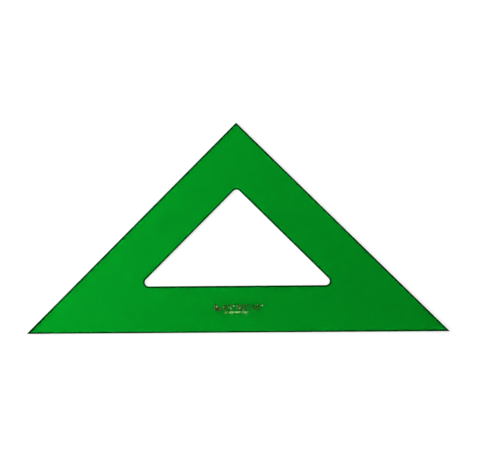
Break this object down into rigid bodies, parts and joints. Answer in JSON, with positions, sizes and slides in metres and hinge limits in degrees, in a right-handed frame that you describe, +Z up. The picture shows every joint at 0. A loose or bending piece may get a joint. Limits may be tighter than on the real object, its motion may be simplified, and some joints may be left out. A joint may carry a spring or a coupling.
{
  "type": "set square",
  "caption": "Flat 45 degree set square of transparent green acrylic with a rounded triangular window and a small gold foil mark of angle figures.",
  "frame": {"origin": "middle of the plate's box on its underside, which rests on the table; the long edge is at y = -0.070 m and the right-angled corner at y = +0.070 m", "axes": "+X along the long edge, +Y from the long edge to the right-angled corner, +Z up through the thickness, out of the face with the foil"},
  "size_m": [0.28, 0.14, 0.003],
  "materials": {
    "green_acrylic": "polished",
    "gold_foil": "satin"
  },
  "bodies": {
    "root": {"acrylic_plate": "green_acrylic", "foil_angle_figures": "gold_foil", "foil_direction_figures": "gold_foil", "foil_triangle_symbol": "gold_foil"}
  },
  "joints": []
}
